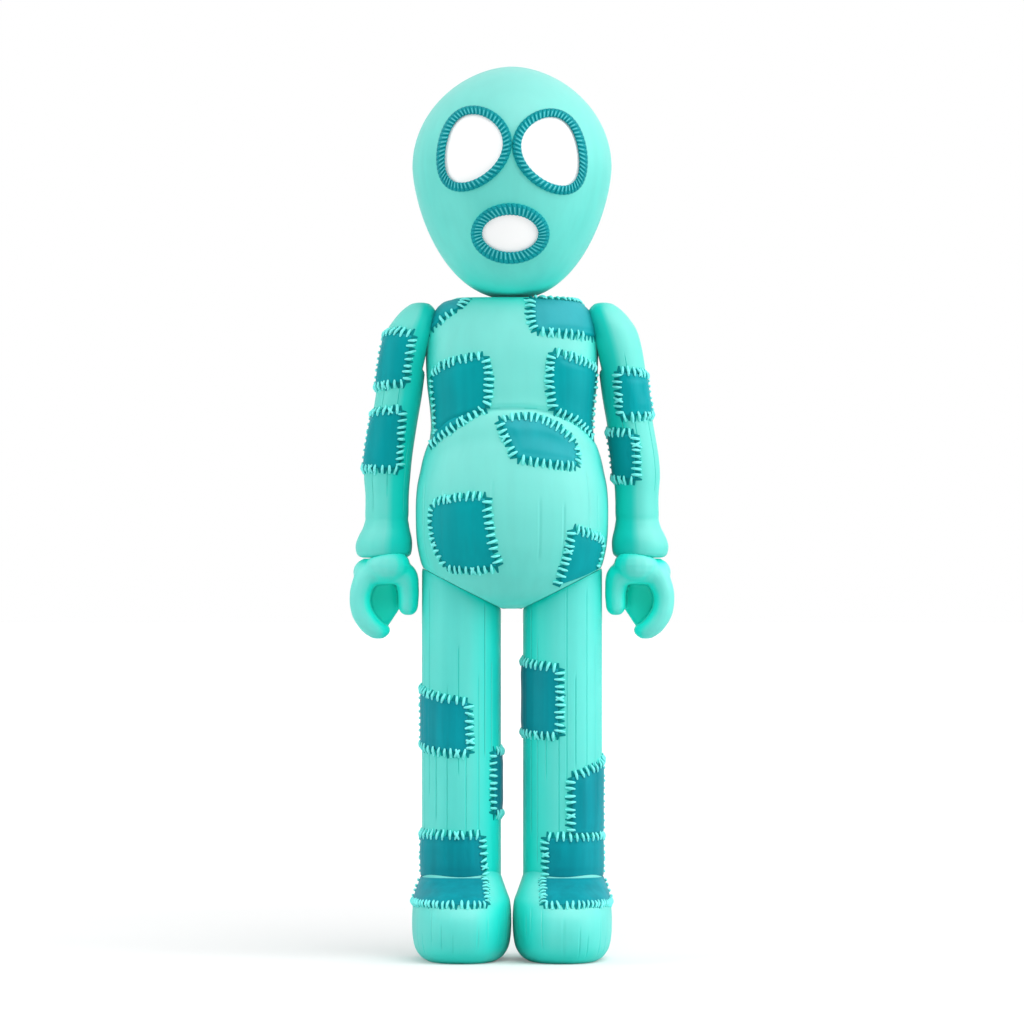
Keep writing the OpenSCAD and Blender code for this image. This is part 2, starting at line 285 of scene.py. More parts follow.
# ---------------------------------------------------------------- mesh making
class Builder:
    """Collects vertices in millimetres and faces with their material number."""

    def __init__(self):
        self.verts, self.faces, self.kinds = [], [], []

    def add(self, points):
        start = len(self.verts)
        self.verts += [tuple(p) for p in points]
        return start

    def face(self, corners, kind=0):
        self.faces.append(tuple(corners))
        self.kinds.append(kind)

    def rows(self, rows, kind=0, closed=True, kind_of=None):
        """Joins equal rows of points with quads, outward when rows rise and points go with turn."""
        n = len(rows[0])
        starts = [self.add(row) for row in rows]
        for j in range(len(rows) - 1):
            for i in range(n if closed else n - 1):
                k = (i + 1) % n
                self.face((starts[j] + i, starts[j] + k, starts[j + 1] + k, starts[j + 1] + i),
                          kind_of(i, j) if kind_of else kind)
        return starts

    def cap(self, start, n, up, kind=0):
        loop = [start + i for i in range(n)]
        self.face(loop if up else loop[::-1], kind)

    def solid(self, rows, kind=0):
        """A closed solid through equal rings, with a flat cap at each end."""
        starts = self.rows(rows, kind)
        self.cap(starts[0], len(rows[0]), False, kind)
        self.cap(starts[-1], len(rows[0]), True, kind)

    def tube(self, points, normals, radii, flat=1.0, sides=8, kind=0):
        """A solid along points, its section squashed by flat along the normals."""
        rows = []
        for i, (p, n, r) in enumerate(zip(points, normals, radii)):
            ahead = points[min(i + 1, len(points) - 1)] - points[max(i - 1, 0)]
            beside = n.cross(ahead).normalized()
            over = ahead.cross(beside).normalized()
            rows.append([p + (beside * math.cos(a) + over * (math.sin(a) * flat)) * r
                         for a in (2 * math.pi * k / sides for k in range(sides))])
        self.solid([row[::-1] for row in rows], kind)

    def make(self, name, materials, sharp=40):
        mesh = bpy.data.meshes.new(name)
        mesh.from_pydata([(x * MM, y * MM, z * MM) for x, y, z in self.verts], [], self.faces)
        for material in materials:
            mesh.materials.append(material)
        for polygon, kind in zip(mesh.polygons, self.kinds):
            polygon.material_index = kind
        piece = bpy.data.objects.new(name, mesh)
        bpy.context.scene.collection.objects.link(piece)
        tidy_mesh(mesh, sharp)
        return piece


def tidy_mesh(mesh, sharp):
    work = bmesh.new()
    work.from_mesh(mesh)
    bmesh.ops.remove_doubles(work, verts=work.verts, dist=1e-7)
    bmesh.ops.recalc_face_normals(work, faces=work.faces)
    work.to_mesh(mesh)
    work.free()
    mesh.shade_smooth()
    mesh.set_sharp_from_angle(angle=math.radians(sharp))


def cut(piece, point, normal, sharp=40):
    """Slices away what lies beyond the plane and closes the cut."""
    work = bmesh.new()
    work.from_mesh(piece.data)
    made = bmesh.ops.bisect_plane(work, geom=work.verts[:] + work.edges[:] + work.faces[:],
                                  plane_co=Vector(point) * MM, plane_no=normal, clear_outer=True)
    edges = [e for e in made["geom_cut"] if isinstance(e, bmesh.types.BMEdge)]
    bmesh.ops.edgeloop_fill(work, edges=edges)
    work.to_mesh(piece.data)
    work.free()
    tidy_mesh(piece.data, sharp)


def round_hem(piece, point, normal, reach=1.4, amount=0.4):
    """Rolls the skin in beside a cut, so that the hem is soft."""
    normal = Vector(normal).normalized()
    for vertex in piece.data.vertices:
        near = -(vertex.co / MM - Vector(point)).dot(normal)
        if near < reach:
            skin = vertex.normal - normal * vertex.normal.dot(normal)
            vertex.co -= skin.normalized() * (amount * (1 - max(0, near) / reach) ** 2 * MM)


def apply_modifiers(piece):
    graph = bpy.context.evaluated_depsgraph_get()
    mesh = bpy.data.meshes.new_from_object(piece.evaluated_get(graph))
    piece.modifiers.clear()
    piece.data = mesh
    mesh.shade_smooth()


def skin_rows(surface, turns, heights):
    return [[surface.at(t, z) for t in turns] for z in heights]


def spread(low, high, count):
    """Even steps from low to high."""
    return [low + (high - low) * i / count for i in range(count + 1)]


def eased_spread(low, high, count):
    """Steps from low to high that crowd towards both ends."""
    return [low + (high - low) * (1 - math.cos(math.pi * i / count)) / 2 for i in range(count + 1)]


# ---------------------------------------------------------------- materials
def node_material(name):
    material = bpy.data.materials.new(name)
    material.use_nodes = True
    tree = material.node_tree
    return material, tree, tree.nodes["Principled BSDF"]


def noise_node(tree, scale, detail=3.0, stretch=None):
    """Noise in the object's own millimetres, optionally stretched per axis."""
    place = tree.nodes.new("ShaderNodeTexCoord")
    mapping = tree.nodes.new("ShaderNodeMapping")
    mapping.inputs["Scale"].default_value = stretch or (1, 1, 1)
    texture = tree.nodes.new("ShaderNodeTexNoise")
    texture.inputs["Scale"].default_value = scale
    texture.inputs["Detail"].default_value = detail
    tree.links.new(place.outputs["Object"], mapping.inputs["Vector"])
    tree.links.new(mapping.outputs["Vector"], texture.inputs["Vector"])
    return texture.outputs["Fac"]


def ramp(tree, source, stops):
    """A colour ramp over a source, each stop a place and a colour."""
    node = tree.nodes.new("ShaderNodeValToRGB")
    elements = node.color_ramp.elements
    while len(elements) < len(stops):
        elements.new(0.5)
    for element, (place, colour) in zip(elements, stops):
        element.position = place
        element.color = (*colour, 1)
    tree.links.new(source, node.inputs["Fac"])
    return node.outputs["Color"]


def feed(tree, socket, value):
    """Links a socket to another node's output, or sets it to a constant."""
    if isinstance(value, bpy.types.NodeSocket):
        tree.links.new(value, socket)
    else:
        socket.default_value = value


def mix(tree, amount, first, second, blend="MIX"):
    node = tree.nodes.new("ShaderNodeMix")
    node.data_type = "RGBA"
    node.blend_type = blend
    for place, value in ((0, amount), (6, first), (7, second)):
        feed(tree, node.inputs[place], value)
    return node.outputs[2]


def calculate(tree, operation, *values):
    node = tree.nodes.new("ShaderNodeMath")
    node.operation = operation
    for socket, value in zip(node.inputs, values):
        feed(tree, socket, value)
    return node.outputs[0]


def fine_bump(tree, shader, layers):
    """Stacks bumps: each layer is a height source with its depth in millimetres."""
    last = None
    for source, deep in layers:
        node = tree.nodes.new("ShaderNodeBump")
        node.inputs["Strength"].default_value = 1.0
        node.inputs["Distance"].default_value = deep * MM
        tree.links.new(source, node.inputs["Height"])
        if last:
            tree.links.new(last, node.inputs["Normal"])
        last = node.outputs["Normal"]
    tree.links.new(last, shader.inputs["Normal"])


def grey(level):
    return (level, level, level)


# the way painted light comes from: skin that faces up, forward and a little right is painted paler
SKYWARD = (0.2, -0.45, 0.87)


def facing(tree, direction):
    """How far the piece's own skin faces along a direction, 1 for straight on."""
    node = tree.nodes.new("ShaderNodeVectorMath")
    node.operation = "DOT_PRODUCT"
    tree.links.new(tree.nodes.new("ShaderNodeTexCoord").outputs["Normal"], node.inputs[0])
    node.inputs[1].default_value = direction
    return node.outputs["Value"]


def inwardness(tree):
    """How far a limb's skin faces the doll's middle plane: the mask for painted shade on a limb's inner
    side.
    """
    spot = tree.nodes.new("ShaderNodeTexCoord")
    place, normal = tree.nodes.new("ShaderNodeSeparateXYZ"), tree.nodes.new("ShaderNodeSeparateXYZ")
    tree.links.new(spot.outputs["Object"], place.inputs[0])
    tree.links.new(spot.outputs["Normal"], normal.inputs[0])
    outward = calculate(tree, "MULTIPLY", calculate(tree, "SIGN", place.outputs["X"]), normal.outputs["X"])
    return calculate(tree, "MULTIPLY", outward, -1)


def closeness(tree, reach):
    """1 in the open, less where other skin stands within reach millimetres: the mask for painted shade in
    hollows.
    """
    node = tree.nodes.new("ShaderNodeAmbientOcclusion")
    node.samples = 8
    node.inputs["Distance"].default_value = reach * MM
    return node.outputs["AO"]


def vinyl(name, dark, light, rough=(0.42, 0.56), edge=None, pit_shade=None, streak=0.05, shine=0.5, soak=0.0,
          bloom=0.0, bloom_tint=(1, 1, 1), painted_light=None, painted_light_facing=(0.1, 1.0, 0.6), deep=None,
          hollow=(0.4, 0.92), inner=None, painted_crease_shade=None, glow=0.0):
    """Satin vinyl: clouded colour, faint streaks, pale worn edges, dark pits, an orange-peel skin.

    faded is painted light: the paler colour given to skin that faces up, towards the lamps; fading is
    (start, full, amount) of that facing.
    deep is painted shade: the richer colour given to skin in the hollows, where less light reaches; hollow
    is (full, none) of their openness.
    A limb's inner side takes the deep colour too, as painted shade; inner is (start, full, amount) of
    inwardness.
    tight is (full, none) of the openness of creases that take the pit colour as painted shade; pit is
    painted shade in grooves and creases.
    """
    material, tree, shader = node_material(name)
    clouds = ramp(tree, noise_node(tree, 28), [(0.34, dark), (0.66, light)])
    streaks = ramp(tree, noise_node(tree, 260, 4, (1, 1, 0.07)), [(0.3, grey(1 - streak)), (0.62, grey(1))])
    colour = mix(tree, 1.0, clouds, streaks, "MULTIPLY")
    # painted light: skin that faces up takes the paler faded colour
    if painted_light:
        start, full, amount = painted_light_facing
        colour = mix(tree, ramp(tree, facing(tree, SKYWARD), [(start, grey(0)), (full, grey(amount))]),
                     colour, (*painted_light, 1))
    # painted shade: skin with other skin close by takes the richer deep colour
    if deep:
        room = closeness(tree, 40)
        hollow_shade = ramp(tree, room, [(hollow[0], grey(1)), (hollow[1], grey(0))])
        colour = mix(tree, hollow_shade, colour, (*deep, 1))
    # painted shade: a limb's side that faces the doll's middle takes the deep colour
    if inner:
        inner_shade = ramp(tree, inwardness(tree), [(inner[0], grey(0)), (inner[1], grey(inner[2]))])
        colour = mix(tree, inner_shade, colour, (*deep, 1))
    # painted shade: the tightest contacts, such as under the chin, take the pit colour
    if painted_crease_shade:
        crease = ramp(tree, room, [(painted_crease_shade[0], grey(0.85)), (painted_crease_shade[1], grey(0))])
        colour = mix(tree, crease, colour, (*pit_shade, 1))
    curve = tree.nodes.new("ShaderNodeNewGeometry").outputs["Pointiness"]
    if edge:
        colour = mix(tree, ramp(tree, curve, [(0.53, grey(0)), (0.66, grey(1))]), colour, (*edge, 1))
    # painted shade: concave skin such as engraved grooves takes the dark pit colour
    if pit_shade:
        colour = mix(tree, ramp(tree, curve, [(0.43, grey(1)), (0.488, grey(0))]), colour, (*pit_shade, 1))
    tree.links.new(colour, shader.inputs["Base Color"])
    gloss = ramp(tree, noise_node(tree, 90, 5), [(0.3, grey(rough[0])), (0.7, grey(rough[1]))])
    tree.links.new(gloss, shader.inputs["Roughness"])
    fine_bump(tree, shader, [(noise_node(tree, 1400, 2), 0.012), (noise_node(tree, 170, 2), 0.03)])
    shader.inputs["Specular IOR Level"].default_value = shine
    shader.inputs["Subsurface Weight"].default_value = soak
    shader.inputs["Subsurface Radius"].default_value = (0.25, 1.0, 0.8)
    shader.inputs["Subsurface Scale"].default_value = 0.006
    shader.inputs["Sheen Weight"].default_value = bloom
    shader.inputs["Sheen Roughness"].default_value = 0.45
    shader.inputs["Sheen Tint"].default_value = (*bloom_tint, 1)
    # glow is painted light: a white emission that brightens the piece without being a lamp
    shader.inputs["Emission Color"].default_value = (1, 1, 1, 1)
    shader.inputs["Emission Strength"].default_value = glow
    return material


# PAINTED_LIGHT_MINT is painted light on skin that faces up; PAINTED_SHADE_MINT is painted shade in hollows
PAINTED_LIGHT_MINT, PAINTED_SHADE_MINT = (0.31, 0.76, 0.70), (0.0, 0.82, 0.71)
MINT = vinyl("soft_mint_vinyl", (0.11, 0.67, 0.595), (0.14, 0.72, 0.64), edge=(0.2, 0.80, 0.73),
             pit_shade=(0.0, 0.34, 0.31), soak=0.1, bloom=0.12, shine=0.35, painted_light=PAINTED_LIGHT_MINT, deep=PAINTED_SHADE_MINT,
             painted_crease_shade=(0.15, 0.45))
# Arms, hands, legs and feet take painted shade in hollows and on their inner sides, and painted light where
# they face up
ARM_LOOK = dict(pit_shade=(0.0, 0.32, 0.29), soak=0.1, bloom=0.06, shine=0.3, painted_light=PAINTED_LIGHT_MINT,
                painted_light_facing=(0.35, 1.0, 0.5))
ARM_MINT = vinyl("soft_mint_arm_vinyl", (0.10, 0.66, 0.58), (0.125, 0.71, 0.625), deep=(0.0, 0.63, 0.54),
                 hollow=(0.4, 0.97), inner=(0.0, 0.32, 1.0), **ARM_LOOK)
HAND_MINT = vinyl("soft_mint_hand_vinyl", (0.14, 0.72, 0.64), (0.17, 0.77, 0.69), deep=(0.0, 0.83, 0.69),
                  hollow=(0.72, 0.97), inner=(0.35, 0.95, 0.9), **ARM_LOOK)
LEG_LOOK = dict(pit_shade=(0.0, 0.30, 0.27), soak=0.1, bloom=0.06, shine=0.3, painted_light=PAINTED_LIGHT_MINT,
                painted_light_facing=(0.4, 1.0, 0.4), deep=(0.0, 0.72, 0.62), inner=(0.2, 0.9, 0.95))
LEG_MINT = vinyl("soft_mint_leg_vinyl", (0.09, 0.67, 0.60), (0.115, 0.72, 0.645),
                 hollow=(0.4, 0.95), **LEG_LOOK)
FOOT_MINT = vinyl("soft_mint_foot_vinyl", (0.10, 0.69, 0.62), (0.125, 0.74, 0.665),
                  hollow=(0.05, 0.6), **LEG_LOOK)
# the patches take painted light where they face up and painted shade in hollows and grooves
TEAL = vinyl("teal_patch_vinyl", (0.0, 0.31, 0.345), (0.0, 0.365, 0.40), rough=(0.4, 0.55), shine=0.06,
             edge=(0.0, 0.42, 0.47), pit_shade=(0.0, 0.15, 0.20), streak=0.12, bloom=0.05,
             bloom_tint=(0.6, 0.7, 1.0), painted_light=(0.10, 0.52, 0.60), painted_light_facing=(0.5, 1.0, 0.7),
             deep=(0.0, 0.27, 0.30), hollow=(0.45, 0.9))
LEG_TEAL = vinyl("teal_leg_patch_vinyl", (0.0, 0.28, 0.34), (0.0, 0.33, 0.39), rough=(0.4, 0.55),
                 shine=0.08, edge=(0.02, 0.42, 0.50), pit_shade=(0.0, 0.13, 0.18), streak=0.2, bloom=0.08,
                 bloom_tint=(0.7, 0.7, 1.0), deep=(0.0, 0.20, 0.26), hollow=(0.45, 0.9))
# painted shadow: the dark teeth laid between the stitches
STITCH_SHADOW_TEAL = vinyl("teal_stitch_shadow", (0.0, 0.22, 0.23), (0.0, 0.28, 0.29), rough=(0.5, 0.65), shine=0.1, streak=0.2)
THREAD = vinyl("aqua_thread", (0.12, 0.84, 0.78), (0.17, 0.90, 0.85), rough=(0.4, 0.52),
               edge=(0.25, 0.97, 0.94), shine=0.4)
RIM = vinyl("teal_rim_ridge", (0.0, 0.29, 0.325), (0.004, 0.36, 0.395), rough=(0.4, 0.55),
            shine=0.12, streak=0.1)
RIM_TICK = vinyl("teal_rim_tick", (0.07, 0.52, 0.56), (0.11, 0.60, 0.63), rough=(0.4, 0.55),
                 shine=0.2, streak=0.1)
# painted shade: the darker colour of the grooves between the rim's windings
RIM_GROOVE_SHADE = vinyl("teal_rim_groove_shade", (0.0, 0.20, 0.24), (0.0, 0.25, 0.29), rough=(0.5, 0.65),
                shine=0.05, streak=0.1)
# painted light: the whites glow a little, lifting their shade
WHITE = vinyl("bright_white_vinyl", (0.93, 0.93, 0.93), (0.96, 0.96, 0.96), rough=(0.4, 0.5),
              streak=0.01, glow=0.1)
GREY = vinyl("grey_plug_plastic", (0.22, 0.23, 0.24), (0.28, 0.29, 0.30), rough=(0.45, 0.6))

for name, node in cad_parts.items():
    for holder in node.material_slots:
        holder.material = GREY if name.endswith("plug") else MINT


# ---------------------------------------------------------------- surfaces
LINES = random.Random(21)
SURFACES = {
    "head": Surface(head_base, groove_set(LINES, 6, 232, 262, 14, first=105, sweep=170)),
    "torso": Surface(torso_base, groove_set(LINES, 20, 130, 168, 14, first=-170)),
}
for side, word in SIDES:
    SURFACES[word + "_arm"] = Surface(arm_base(side), groove_set(LINES, 9, 148, 204, 20, first=-150))
    SURFACES[word + "_leg"] = Surface(leg_base(side), groove_set(LINES, 24, 31, 126, 30, first=-172))
    SURFACES[word + "_foot"] = Surface(foot_base(side),
                                       groove_set(LINES, 13, 1.5, 20, 9, first=-90, sweep=190))


def clothe(piece, body, slot, *nodes):
    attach(piece, body)
    if nodes:
        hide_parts(*nodes)


# ---------------------------------------------------------------- vinyl shells
def make_head():
    build = Builder()
    surface = SURFACES["head"]
    turns = columns(1.8, surface.grooves)
    top_angle = 88.5
    low_angle = -math.degrees(math.asin((HEAD_MID - HEAD_SEAT) / (HEAD_MID - HEAD_LOW)))
    heights = []
    for angle in spread(low_angle, top_angle, 150):
        u = math.sin(math.radians(angle))
        heights.append(HEAD_MID + u * ((HEAD_TOP - HEAD_MID) if u > 0 else (HEAD_MID - HEAD_LOW)))
    starts = build.rows([[surface.at(t, z) for t in turns] for z in heights])
    build.cap(starts[0], len(turns), False)
    crown = build.add([(0, 0, HEAD_TOP)])
    for i in range(len(turns)):
        build.face((starts[-1] + i, starts[-1] + (i + 1) % len(turns), crown))
    clothe(build.make("head_skin", [MINT]), "head", "mint_vinyl", "head_shell")


def make_torso():
    build = Builder()
    surface = SURFACES["torso"]
    turns = columns(1.5, surface.grooves)
    build.solid(skin_rows(surface, turns, eased_spread(TORSO[0][0], TORSO[-1][0], 190)))
    piece = build.make("torso_skin", [MINT])
    angle = math.radians(HIP_ANGLE)
    for side in (-1, 1):
        face = (side * LEG_X, 0, HIP_Z), (side * math.sin(angle), 0, -math.cos(angle))
        cut(piece, *face)
        round_hem(piece, *face)
    clothe(piece, "torso", "mint_vinyl", "torso_shell")


def make_arm(side, word):
    """An arm whose inner side is flattened to the shoulder's leaning face."""
    lean = math.radians(SHOULDER_LEAN)
    face = Vector((side * SHOULDER_FACE, 0, SHOULDER_Z))
    inward = Vector((-side * math.cos(lean), 0, -math.sin(lean)))
    surface = SURFACES[word + "_arm"]
    axis = side * WRIST_X

    def trimmed(turn, z):
        p = surface.at(turn, z)
        past = (p - face).dot(inward)
        flat = p - inward * past
        if past > 0 and (flat - face).length < SHOULDER_DISC + 0.2:
            return flat
        return p

    build = Builder()
    turns = columns(3, surface.grooves)
    rows = [[trimmed(t, z) for t in turns] for z in eased_spread(CUFF_Z + 1.8, ARM[-1][0], 150)]
    under = [[Vector((axis + (p.x - axis) * shrink, p.y * shrink, CUFF_Z + rise)) for p in rows[0]]
             for shrink, rise in ((0.5, 0), (0.76, 0.05), (0.87, 0.3), (0.94, 0.75), (0.985, 1.3))]
    build.solid(under + rows)
    clothe(build.make(word + "_arm_skin", [ARM_MINT]), word + "_arm", "mint_vinyl", word + "_arm_shell")


def through(stations, t):
    """A point on the smooth curve through the stations, t counted in stations."""
    i = min(int(t), len(stations) - 2)
    u = t - i
    a, b = stations[max(i - 1, 0)], stations[i]
    c, d = stations[i + 1], stations[min(i + 2, len(stations) - 1)]
    return [0.5 * (2 * q + (r - p) * u + (2 * p - 5 * q + 4 * r - w) * u**2
                   + (3 * q - p - 3 * r + w) * u**3) for p, q, r, w in zip(a, b, c, d)]


def cup_floor(r):
    """How high a hand may reach under its cuff, r out from the wrist's axis."""
    return CUFF_Z - JOINT_GAP + 0.25 * ease(5, 8, r) + 2.1 * ease(7.8, 9.9, r) ** 1.5


def make_hand(side, word):
    """A grip hand: swollen links fused and smoothed into one soft casting, hollowed under the cuff."""
    build = Builder()

    def blob(x, y, z, rx, ry, rz):
        rings = []
        for j in range(1, 8):
            a = math.pi * j / 8 - math.pi / 2
            fan = [2 * math.pi * k / 14 for k in range(14)]
            rings.append([Vector((side * x + rx * math.cos(a) * math.sin(b),
                                  y - ry * math.cos(a) * math.cos(b), z + rz * math.sin(a))) for b in fan])
        build.solid(rings)

    steps = 6 * (len(HAND) - 1)
    for i in range(steps + 1):
        x, z, r, spread_y = through(HAND, i / 6)
        for depth in (-1, -0.5, 0, 0.5, 1):
            blob(x, depth * spread_y, z, r, r, r)
    for i, first in enumerate(PALM):
        for second in PALM[i + 1:]:
            for t in (0, 0.25, 0.5, 0.75, 1):
                x, z, r = (p + (q - p) * t for p, q in zip(first, second))
                blob(x, 4.2, z, r, 2.1, r)
    blob(WRIST_X - 0.2, 0, 130.8, 9.6, 8.6, 5.4)
    blob(WRIST_X + 4.6, 0, 129.8, 5.9, 6.8, 4.9)
    for y in (-5.4, 5.4):
        blob(WRIST_X - 1.6, y, 132.2, 7.4, 5.4, 5.5)
    piece = build.make(word + "_hand_skin", [HAND_MINT])
    remesh = piece.modifiers.new("fuse", "REMESH")
    remesh.mode = "VOXEL"
    remesh.voxel_size = 0.4 * MM
    soften = piece.modifiers.new("soften", "SMOOTH")
    soften.factor, soften.iterations = 0.5, 16
    apply_modifiers(piece)
    for vertex in piece.data.vertices:
        out = math.hypot(vertex.co.x / MM - side * WRIST_X, vertex.co.y / MM)
        vertex.co.z = min(vertex.co.z, cup_floor(out) * MM)
    clothe(piece, word + "_hand", "mint_vinyl", word + "_hand")


def make_leg(side, word):
    """A leg tube set into its foot, cut along the hip's slanted face."""
    build = Builder()
    leg, foot = SURFACES[word + "_leg"], SURFACES[word + "_foot"]
    turns = columns(4, leg.grooves)
    build.solid(skin_rows(leg, turns, spread(24, 134, 110)))
    turns = columns(3, foot.grooves)
    build.solid(skin_rows(foot, turns, eased_spread(0, FOOT[-1][0], 60)), 1)
    piece = build.make(word + "_leg_skin", [LEG_MINT, FOOT_MINT])
    angle = math.radians(HIP_ANGLE)
    up = Vector((-side * math.sin(angle), 0, math.cos(angle)))
    top = Vector((side * LEG_X, 0, HIP_Z)) - up * 0.2
    cut(piece, top, up)
    round_hem(piece, top, up, 0.8, 0.25)
    clothe(piece, word + "_leg", "mint_vinyl", word + "_leg_shell")


# ---------------------------------------------------------------- face
INSERT_BACK, INSERT_FRONT = -1.3, -0.3       # below the skin
RIM_LIFT, RIM_RIDGE, RIM_ROOT = 1.05, 0.34, -0.9


def make_insert(name, node, outline):
    """A white, faintly domed oval that lies below the skin inside its rim."""
    build = Builder()
    around, rings = 96, 14
    loop = [outline(-2 * math.pi * k / around) for k in range(around)]
    mid_x, mid_z = (sum(p[i] for p in loop) / around for i in (0, 1))

    def ring(shrink, grow):
        return [face_point(mid_x + (x - mid_x) * shrink, mid_z + (z - mid_z) * shrink, grow)
                for x, z in loop]

    back = [ring(i / rings, INSERT_BACK) for i in range(1, rings + 1)]
    front = [ring(i / rings, INSERT_FRONT) for i in range(rings, 0, -1)]
    build.solid(back + front)
    clothe(build.make(name, [WHITE]), "head", "white_vinyl", node)


def make_rim(name, node, outer, inner, stitches):
    """A raised ring wound with thread.

    Every winding leans, with painted shade in the groove beside it and a paler tick on its inner half.
    """
    build = Builder()
    per, arc, lean = 8, 10, 0.9
    pitch = 2 * math.pi / stitches
    rows = []
    for k in range(stitches * per):
        wave = math.sin(math.pi * (k % per) / per)
        row = []
        for j in range(arc + 1):
            b = math.pi * j / arc
            a = k * pitch / per + lean * pitch * (j / arc - 0.5)
            across = (1 - math.cos(b) * (0.93 + 0.09 * wave)) / 2
            (xi, zi), (xo, zo) = inner(a), outer(a)
            lift = -0.25 + (RIM_LIFT + RIM_RIDGE * wave) * math.sin(b) ** 0.75
            row.append(face_point(xi + (xo - xi) * across, zi + (zo - zi) * across, lift))
        (xi, zi), (xo, zo) = inner(a - lean * pitch), outer(a)
        row += [face_point(xo, zo, RIM_ROOT), face_point(xi, zi, RIM_ROOT)]
        rows.append(row)
    rows.append(rows[0])

    def kind_of(i, j):
        if i >= arc:
            return 0
        # the faces in the grooves between windings take the painted shade colour
        if j % per in (0, per - 1):
            return 1
        return 2 if j % per in (3, 4) and 2 <= i <= 5 else 0

    build.rows(rows, kind_of=kind_of)
    clothe(build.make(name, [RIM, RIM_GROOVE_SHADE, RIM_TICK], 60), "head", "teal_vinyl", node)


# ---------------------------------------------------------------- patches and their stitches
class Patch:
    """Four corners (turn, height), from the top left round to the bottom right and left.

    bows push the top, right, bottom and left edges outward, by degrees or millimetres.
    sewn names the edges that are stitched.
    """

    def __init__(self, part, corners, bows=(0, 0, 0, 0), sewn="trbl"):
        self.surface, self.corners, self.bows, self.sewn = SURFACES[part], corners, bows, sewn

    def domain(self, u, v):
        (a, b), (c, d), (e, f), (g, h) = self.corners
        turn = (a * (1 - u) + c * u) * (1 - v) + (g * (1 - u) + e * u) * v
        z = (b * (1 - u) + d * u) * (1 - v) + (h * (1 - u) + f * u) * v
        top, right, bottom, left = self.bows
        z += 4 * u * (1 - u) * (top * (1 - v) - bottom * v)
        turn += 4 * v * (1 - v) * (right * u - left * (1 - u))
        return turn, z

    def on_edge(self, letter, s):
        """The patch's own coordinates s of the way along an edge, going clockwise."""
        s = min(1, max(0, s))
        return {"t": (s, 0), "r": (1, s), "b": (1 - s, 1), "l": (0, 1 - s)}[letter]

    def edge(self, letter, s):
        """The point s of the way along an edge, and the way out of the patch, both on the skin."""
        step = 0.02
        u, v = self.on_edge(letter, s)
        turn, z = self.domain(u, v)
        du, dv = {"t": (0, -step), "r": (step, 0), "b": (0, step), "l": (-step, 0)}[letter]
        inside = self.domain(u - du, v - dv)
        ahead, behind = (self.domain(*self.on_edge(letter, s + d)) for d in (step, -step))
        p, across, up, normal = self.surface.frame(turn, z)
        along = self.surface.base(*ahead) - self.surface.base(*behind)
        out = along.cross(normal).normalized()
        if out.dot(p - self.surface.base(*inside)) < 0:
            out = -out
        return turn, z, across, up, out, along.normalized()

    def length(self, letter):
        stops = [self.surface.base(*self.edge(letter, k / 12)[:2]) for k in range(13)]
        return sum((b - a).length for a, b in zip(stops, stops[1:]))


def offset(spot, out, reach):
    """Moves a skin coordinate by reach millimetres along out."""
    turn, z, across, up = spot
    return (turn + reach * out.dot(across) / across.length_squared,
            z + reach * out.dot(up) / up.length_squared)


PATCH_HIGH, PATCH_ROOT, PATCH_CELL = 0.5, -0.3, 0.55     # height, edge below the skin, mesh size


def add_patch(build, patch, rng):
    """A padded patch on the skin, quilted a little inside its edge, closed by a point beneath."""
    wide = max(patch.length("t"), patch.length("b"))
    tall = max(patch.length("l"), patch.length("r"))
    nu, nv = max(12, round(wide / PATCH_CELL)), max(12, round(tall / PATCH_CELL))
    phases = [rng.uniform(0, 6) for _ in range(4)]

    def height(u, v):
        near = min(min(u, 1 - u) * wide, min(v, 1 - v) * tall)
        puff = 0.22 * ease(0, 3, near) - 0.12 * bump(near - 2.4, 1.0)
        ripple = 0.05 * math.sin(u * 9 + phases[0]) * math.sin(v * 8 + phases[1])
        return PATCH_ROOT + (PATCH_HIGH - PATCH_ROOT) * ease(-0.1, 0.7, near) + puff + ripple

    rows = []
    for j in range(nv + 1):
        v = 1 - j / nv
        rows.append([patch.surface.at(*patch.domain(i / nu, v), height(i / nu, v)) for i in range(nu + 1)])
    starts = build.rows(rows, closed=False)
    edge = [starts[0] + i for i in range(nu)]
    edge += [starts[j] + nu for j in range(nv)]
    edge += [starts[nv] + i for i in range(nu, 0, -1)]
    edge += [starts[j] for j in range(nv, 0, -1)]
    under = build.add([patch.surface.at(*patch.domain(0.5, 0.5), -1.2)])
    for i, corner in enumerate(edge):
        build.face((edge[(i + 1) % len(edge)], corner, under))


STITCH_PITCH, STITCH_IN, STITCH_OUT = 2.15, 1.45, 1.85
SEAM_END = 0.6                               # bare length at each end of an edge


def add_stitch(build, patch, spot, out, reach_in, reach_out, rng, thick):
    """A thread that lies on the patch and goes down over its edge to the skin."""
    steps = 9
    points, normals, radii = [], [], []
    lean = rng.uniform(-0.05, 0.05)
    for i in range(steps):
        t = i / (steps - 1)
        reach = -reach_in + (reach_in + reach_out) * t
        turn, z = offset(spot, out, reach)
        _, _, _, normal = patch.surface.frame(turn, z)
        lift = 0.16 + (PATCH_HIGH + 0.08) * (1 - ease(0.1, 1.3, reach)) + 0.14 * math.sin(math.pi * t)
        points.append(patch.surface.at(turn, z, lift))
        normals.append(normal)
        swell = 0.18 + 0.82 * math.sin(math.pi * (0.04 + 0.92 * t)) ** 0.5
        radii.append(thick * swell * (1 + lean * (t - 0.5)))
    build.tube(points, normals, radii, flat=0.95)


